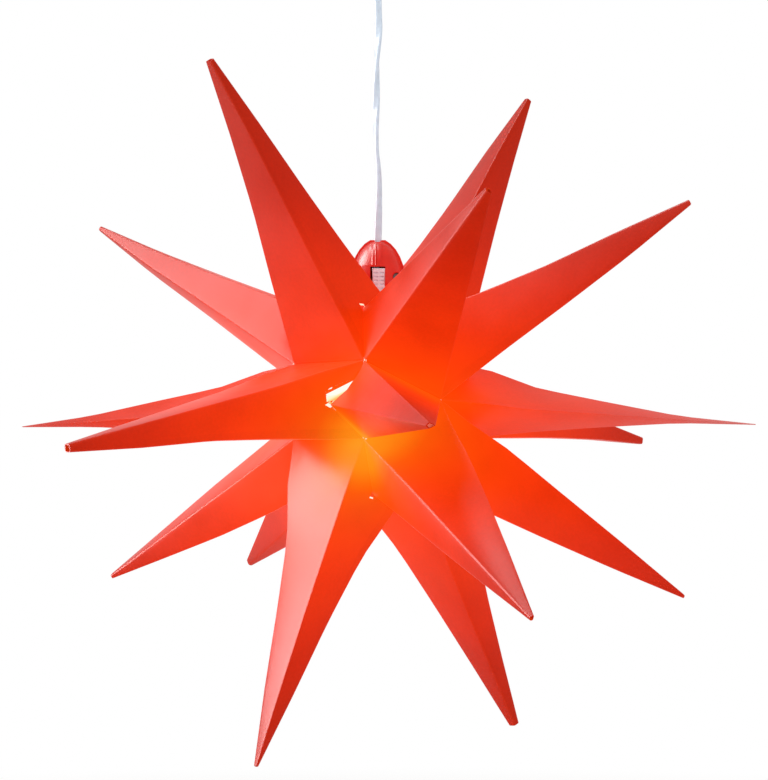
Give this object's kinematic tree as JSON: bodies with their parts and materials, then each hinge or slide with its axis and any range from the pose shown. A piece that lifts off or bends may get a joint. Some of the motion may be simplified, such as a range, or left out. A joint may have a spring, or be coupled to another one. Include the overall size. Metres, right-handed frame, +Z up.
{
  "type": "moravian star pendant",
  "caption": "Fold-flat lantern of hollow pointed sheet spikes round a lamp, hung by a flat flex and a swivel grip from a ceiling hook.",
  "frame": {"origin": "where the ceiling hook's shank meets the ceiling", "axes": "+Z up along the shank; the star hangs below; -Y is the front that the picture shows"},
  "size_m": [0.5202, 0.5286, 0.6379],
  "materials": {
    "star_sheet": "satin translucent polypropylene sheet, red-orange",
    "cap_plastic": "satin moulded plastic, red-orange",
    "stud_plastic": "smooth moulded plastic",
    "ring_plastic": "satin moulded plastic, off-white",
    "flex_sheath": "white PVC sheath, slightly glossy",
    "core_sheath": "PVC insulation",
    "relief_plastic": "white moulded plastic",
    "holder_plastic": "white thermoset",
    "screw_steel": "zinc plated",
    "brass": "stamped and rolled",
    "lamp_shell_metal": "nickel plated",
    "lamp_insulator_black": "black vitreous insulator",
    "lamp_body_plastic": "white lamp housing",
    "led_board": "white coated aluminium board",
    "opal_globe": "opal diffuser",
    "hook_steel": "zinc plated steel wire",
    "grip_plastic": "white moulded plastic"
  },
  "bodies": {
    "ceiling": {"ceiling_hook": "hook_steel"},
    "eye": {"swivel_eye": "hook_steel"},
    "star": {"spike_front_1": "star_sheet", "spike_front_2": "star_sheet", "spike_front_3": "star_sheet", "spike_front_4": "star_sheet", "spike_front_5": "star_sheet", "spike_front_6": "star_sheet", "spike_mid_1": "star_sheet", "spike_mid_2": "star_sheet", "spike_mid_3": "star_sheet", "spike_mid_4": "star_sheet", "spike_mid_5": "star_sheet", "spike_mid_6": "star_sheet", "spike_back_1": "star_sheet", "spike_back_2": "star_sheet", "spike_back_3": "star_sheet", "spike_back_4": "star_sheet", "spike_back_5": "star_sheet", "spike_back_6": "star_sheet", "closing_studs": "stud_plastic", "cap_front": "cap_plastic", "cap_rear": "cap_plastic", "cap_screws": "screw_steel", "neck_ring": "ring_plastic", "strain_relief": "relief_plastic", "cable": "flex_sheath", "cable_tail": "flex_sheath", "cable_cores": "core_sheath", "lamp_holder": "holder_plastic", "holder_skirt": "holder_plastic", "terminal_screws": "brass", "holder_sleeve": "brass", "holder_contact": "brass", "grip_cap": "grip_plastic", "grip_body": "grip_plastic", "grip_screw": "screw_steel"},
    "lamp_foot": {"lamp_contact": "lamp_shell_metal"},
    "lamp": {"lamp_cap": "lamp_shell_metal", "lamp_insulator": "lamp_insulator_black", "lamp_body": "lamp_body_plastic", "lamp_led_plate": "led_board", "lamp_globe": "opal_globe"}
  },
  "joints": [
    {"name": "swing", "type": "hinge", "parent": "ceiling", "child": "eye", "pos_m": [0, 0, -0.0292], "axis": [1, 0, 0], "range_deg": [-35, 35]},
    {"name": "turn", "type": "hinge", "parent": "eye", "child": "star", "pos_m": [0, 0, -0.0435], "axis": [0, 0, 1], "continuous": true},
    {"name": "lamp_travel", "type": "slide", "parent": "star", "child": "lamp_foot", "axis": [0, 0, -1], "range_m": [0, 0.01412]},
    {"name": "lamp_turn", "type": "hinge", "parent": "lamp_foot", "child": "lamp", "pos_m": [0, 0, -0.322], "axis": [0, 0, -1], "range_deg": [0, 1800]}
  ],
  "couplings": [
    {"joint": "lamp_travel", "follows": "lamp_turn", "m_per_rad": 0.00044916}
  ]
}
